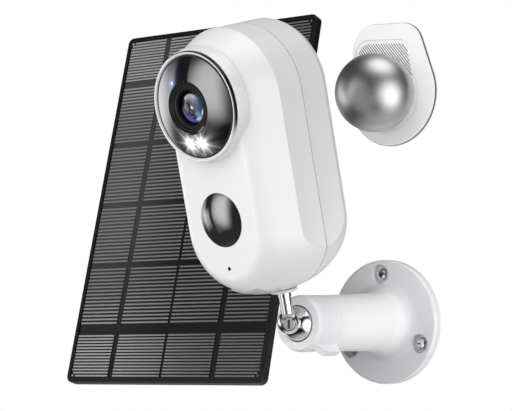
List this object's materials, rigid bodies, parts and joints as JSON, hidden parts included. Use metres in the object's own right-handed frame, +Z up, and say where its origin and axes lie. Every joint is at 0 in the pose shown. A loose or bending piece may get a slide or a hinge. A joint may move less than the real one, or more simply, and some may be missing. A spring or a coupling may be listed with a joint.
{
  "type": "solar-powered security camera",
  "caption": "Wall-mounted battery camera with pebble housing on a ball bracket, a framed solar panel on its own ball bracket, and a magnetic ball mount.",
  "frame": {"origin": "centre of the camera bracket's wall plate, on the wall plane", "axes": "+Z up, +Y into the wall, -Y towards the front, +X to the right seen from the front"},
  "size_m": [0.1936, 0.1714, 0.1914],
  "materials": {
    "white_gloss": "smooth gloss moulding",
    "white_satin": "fine satin moulding",
    "black_gloss": "polished black acrylic",
    "black_matte": "fine matt moulding",
    "panel_black": "semi-gloss moulding",
    "cell_black": "laminated cells with printed contact lines",
    "chrome": "polished plating",
    "steel_satin": "satin steel",
    "steel_plain": "plain stamped steel",
    "lens_glass": "multi-coated",
    "clear_optic": "clear moulded optic",
    "led_phosphor": "led package",
    "led_blue": "tinted light guide",
    "pcb": "solder-masked board",
    "grey_plastic": "fine matt moulding",
    "brass": "turned",
    "rubber_grey": "soft silicone",
    "rubber_black": "foam and silicone",
    "cell_wrap": "shrink sleeve",
    "nylon": "plain nylon"
  },
  "bodies": {
    "root": {"bracket_base": "white_satin", "bracket_screws": "chrome", "ball_mount_plate": "white_satin", "ball_mount_dome": "steel_satin", "ball_mount_core": "grey_plastic", "ball_mount_screw": "steel_plain", "ball_mount_pad": "rubber_black", "panel_bracket_base": "black_matte", "panel_bracket_screws": "steel_plain"},
    "lock_collar": {"cam_lock_collar": "white_satin"},
    "ball_seat": {"ball_cup": "nylon"},
    "ball_stud": {"cam_ball_stud": "chrome", "cam_lock_nut": "white_satin"},
    "port_flap": {"port_flap": "rubber_grey"},
    "reset_button": {"reset_button": "grey_plastic"},
    "panel_ring": {"panel_lock_ring": "black_matte"},
    "panel_ball": {"panel_ball_stud": "chrome", "panel_lock_nut": "steel_plain"},
    "panel": {"panel_frame": "panel_black", "panel_backsheet": "panel_black", "panel_cells": "cell_black", "panel_insert": "brass", "panel_junction_box": "black_matte", "panel_cable_gland": "black_matte"},
    "camera": {"front_shell": "white_gloss", "rear_shell": "white_gloss", "shell_gasket": "rubber_black", "tripod_insert": "brass", "shell_screws": "steel_plain", "lens_bezel": "chrome", "face_plate": "black_gloss", "lens_hood": "black_matte", "lens_front_glass": "lens_glass", "lens_rear_glass": "lens_glass", "lens_holder": "black_matte", "image_sensor_board": "pcb", "flood_led_board": "pcb", "flood_leds": "led_phosphor", "flood_led_lenses": "clear_optic", "status_led": "led_blue", "pir_dome": "black_gloss", "pir_sensor": "steel_plain", "pir_board": "pcb", "microphone": "steel_plain", "chassis": "grey_plastic", "main_board": "pcb", "processor_shield": "steel_plain", "board_screws": "steel_plain", "battery_tray": "grey_plastic", "battery_cells": "cell_wrap", "speaker": "black_matte", "wifi_antenna": "pcb", "rear_magnet": "steel_plain", "io_board": "pcb", "usb_port": "steel_plain", "sd_slot": "steel_plain"}
  },
  "joints": [
    {"name": "collar_twist", "type": "hinge", "parent": "root", "child": "lock_collar", "pos_m": [0, -0.065, 0], "axis": [0, -1, 0], "range_deg": [0, 100]},
    {"name": "ball_swing", "type": "hinge", "parent": "root", "child": "ball_seat", "pos_m": [0, -0.0731, 0], "axis": [0, 1, 0], "range_deg": [-15, 30]},
    {"name": "ball_tilt", "type": "hinge", "parent": "ball_seat", "child": "ball_stud", "pos_m": [0, -0.0731, 0], "axis": [1, 0, 0], "range_deg": [-15, 35]},
    {"name": "camera_pan", "type": "hinge", "parent": "ball_stud", "child": "camera", "pos_m": [0, -0.0821, 0.0007], "axis": [0, -0.2588, 0.9659], "range_deg": [-90, 90]},
    {"name": "flap_hinge", "type": "hinge", "parent": "camera", "child": "port_flap", "pos_m": [-0.00122, -0.10013, 0.01409], "axis": [0.9962, -0.0842, -0.0226], "range_deg": [0, 100]},
    {"name": "reset_press", "type": "slide", "parent": "camera", "child": "reset_button", "axis": [0, -0.2588, 0.9659], "range_m": [0, 0.0006], "stiffness_N_per_m": 400, "springref_m": -0.0005},
    {"name": "panel_ring_twist", "type": "hinge", "parent": "root", "child": "panel_ring", "pos_m": [-0.09617, -0.01, 0.05467], "axis": [0, -1, 0], "range_deg": [0, 90]},
    {"name": "panel_tilt", "type": "hinge", "parent": "root", "child": "panel_ball", "pos_m": [-0.09617, -0.01476, 0.05467], "axis": [1, 0, 0], "range_deg": [-4, 16]},
    {"name": "panel_spin", "type": "hinge", "parent": "panel_ball", "child": "panel", "pos_m": [-0.09617, -0.01476, 0.05467], "axis": [0.0624, -0.9547, 0.2909], "range_deg": [-5, 5]}
  ]
}
